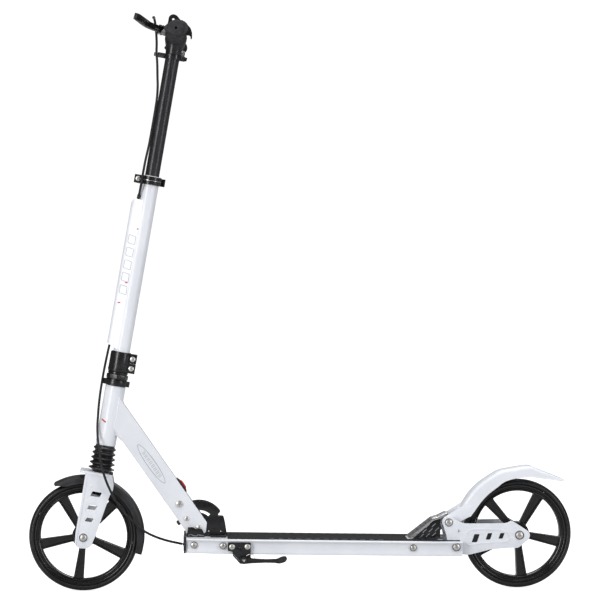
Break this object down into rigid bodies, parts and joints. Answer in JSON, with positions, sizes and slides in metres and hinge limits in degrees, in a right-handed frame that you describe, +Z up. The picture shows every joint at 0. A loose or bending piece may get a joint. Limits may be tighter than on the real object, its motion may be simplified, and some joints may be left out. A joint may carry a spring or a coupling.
{
  "type": "kick scooter",
  "caption": "Folding two-wheel kick scooter with telescopic T-bar, front and rear suspension, hand brake on the rear mudguard, flat deck and side kickstand.",
  "frame": {"origin": "on the ground midway between the wheels, on the scooter's centre plane", "axes": "+Z up, +X towards the rear wheel, +Y towards the rider's right hand"},
  "size_m": [0.9962, 0.417, 1.0447],
  "materials": {
    "white_paint": "gloss white powder coat on aluminium",
    "black_paint": "satin black",
    "black_plastic": "moulded black",
    "black_rubber": "matt black",
    "grip_tape": "gritty black",
    "bolt_steel": "zinc plated",
    "silver_edge": "treaded, silver edged",
    "red_plastic": "red",
    "tyre_rubber": "black polyurethane"
  },
  "bodies": {
    "deck": {"deck_frame": "white_paint", "deck_front_cap": "black_plastic", "grip_tape": "grip_tape", "fold_quadrant": "black_paint", "fold_base": "black_paint", "deck_bolt_front": "bolt_steel", "deck_bolt_middle": "bolt_steel", "deck_bolt_rear": "bolt_steel", "swing_arm_bolt": "bolt_steel", "kickstand_bracket": "black_paint", "kickstand_bolt": "bolt_steel", "tail_cover": "silver_edge", "elastomer_seat": "bolt_steel", "rear_elastomer": "black_rubber", "cable_deck": "black_rubber"},
    "front_frame": {"main_frame": "white_paint", "fold_pivot_bolt": "bolt_steel", "guide_pin": "bolt_steel", "pawl_bolt": "bolt_steel", "release_bezel": "black_plastic", "headset_bearing_low": "bolt_steel", "headset_bearing_high": "bolt_steel", "cable_loop": "black_rubber"},
    "release_button": {"release_button": "red_plastic"},
    "lock_pawl": {"lock_pawl": "bolt_steel"},
    "steerer": {"steerer_tube": "bolt_steel", "headset_nut": "black_paint", "headset_ring": "black_paint", "column_clamp": "black_paint", "column_clamp_bolt_low": "bolt_steel", "column_clamp_bolt_high": "bolt_steel", "column_tube": "white_paint", "height_clamp": "black_paint", "clamp_skewer": "bolt_steel", "boot": "black_rubber", "fork_spring": "bolt_steel"},
    "quick_release": {"quick_release_lever": "black_paint"},
    "handlebar": {"inner_tube": "black_paint", "handlebar": "black_paint", "grip_left": "black_rubber", "grip_right": "black_rubber", "brake_perch": "black_paint", "cable_collar": "black_paint", "cable_upper": "black_rubber"},
    "brake_lever": {"brake_lever": "black_paint"},
    "fork": {"fork": "white_paint", "fork_slider": "bolt_steel", "front_fender": "black_plastic", "front_axle": "bolt_steel"},
    "front_wheel": {"front_tyre": "tyre_rubber", "front_rim": "black_plastic", "front_bearings": "bolt_steel"},
    "rear_arm": {"rear_arm": "white_paint", "rear_axle": "bolt_steel", "eye_bolt": "bolt_steel"},
    "rear_fender": {"rear_fender": "white_paint"},
    "rear_wheel": {"rear_tyre": "tyre_rubber", "rear_rim": "black_plastic", "rear_bearings": "bolt_steel"},
    "kickstand": {"kickstand_leg": "black_paint"}
  },
  "joints": [
    {"name": "fold", "type": "hinge", "parent": "deck", "child": "front_frame", "pos_m": [-0.188, 0, 0.115], "axis": [0, 1, 0], "range_deg": [0, 80]},
    {"name": "lock_pawl", "type": "hinge", "parent": "front_frame", "child": "lock_pawl", "pos_m": [-0.2237, 0, 0.1584], "axis": [0, -1, 0], "range_deg": [0, 12]},
    {"name": "release_button", "type": "slide", "parent": "front_frame", "child": "release_button", "axis": [-0.8187, 0, -0.5743], "range_m": [0, 0.0031], "stiffness_N_per_m": 300, "springref_m": -0.003},
    {"name": "steering", "type": "hinge", "parent": "front_frame", "child": "steerer", "pos_m": [-0.3879, 0, 0.09824], "axis": [0.1705, 0, 0.9854], "range_deg": [-55, 55], "deforming": ["cable_loop"]},
    {"name": "fork_suspension", "type": "slide", "parent": "steerer", "child": "fork", "axis": [0.1705, 0, 0.9854], "range_m": [0, 0.02], "stiffness_N_per_m": 10000, "springref_m": -0.01, "deforming": ["boot", "fork_spring"]},
    {"name": "front_wheel", "type": "hinge", "parent": "fork", "child": "front_wheel", "pos_m": [-0.3981, 0, 0.1], "axis": [0, 1, 0], "continuous": true},
    {"name": "height", "type": "slide", "parent": "steerer", "child": "handlebar", "axis": [0.1705, 0, 0.9854], "range_m": [-0.17, 0], "deforming": ["cable_upper"]},
    {"name": "quick_release", "type": "hinge", "parent": "steerer", "child": "quick_release", "pos_m": [-0.29904, 0.0206, 0.75267], "axis": [0.1705, 0, 0.9854], "range_deg": [0, 150]},
    {"name": "rear_suspension", "type": "hinge", "parent": "deck", "child": "rear_arm", "pos_m": [0.2798, 0, 0.0811], "axis": [0, -1, 0], "range_deg": [0, 6], "stiffness_Nm_per_rad": 185, "springref_deg": -3.44, "deforming": ["rear_elastomer"]},
    {"name": "rear_wheel", "type": "hinge", "parent": "rear_arm", "child": "rear_wheel", "pos_m": [0.3981, 0, 0.1], "axis": [0, 1, 0], "continuous": true},
    {"name": "fender_brake", "type": "hinge", "parent": "rear_arm", "child": "rear_fender", "pos_m": [0.268, 0, 0.124], "axis": [0, 1, 0], "range_deg": [0, 2.5], "stiffness_Nm_per_rad": 2.5, "springref_deg": -34.38},
    {"name": "brake_lever", "type": "hinge", "parent": "handlebar", "child": "brake_lever", "pos_m": [-0.25694, -0.0765, 1.01818], "axis": [0.2924, 0, 0.9563], "range_deg": [0, 18]},
    {"name": "kickstand", "type": "hinge", "parent": "deck", "child": "kickstand", "pos_m": [-0.1075, -0.0687, 0.0622], "axis": [0, 1, 0], "range_deg": [0, 127]}
  ],
  "couplings": [
    {"joint": "lock_pawl", "follows": "release_button", "rad_per_m": 67.5},
    {"joint": "brake_lever", "follows": "fender_brake", "ratio": 7.2}
  ]
}
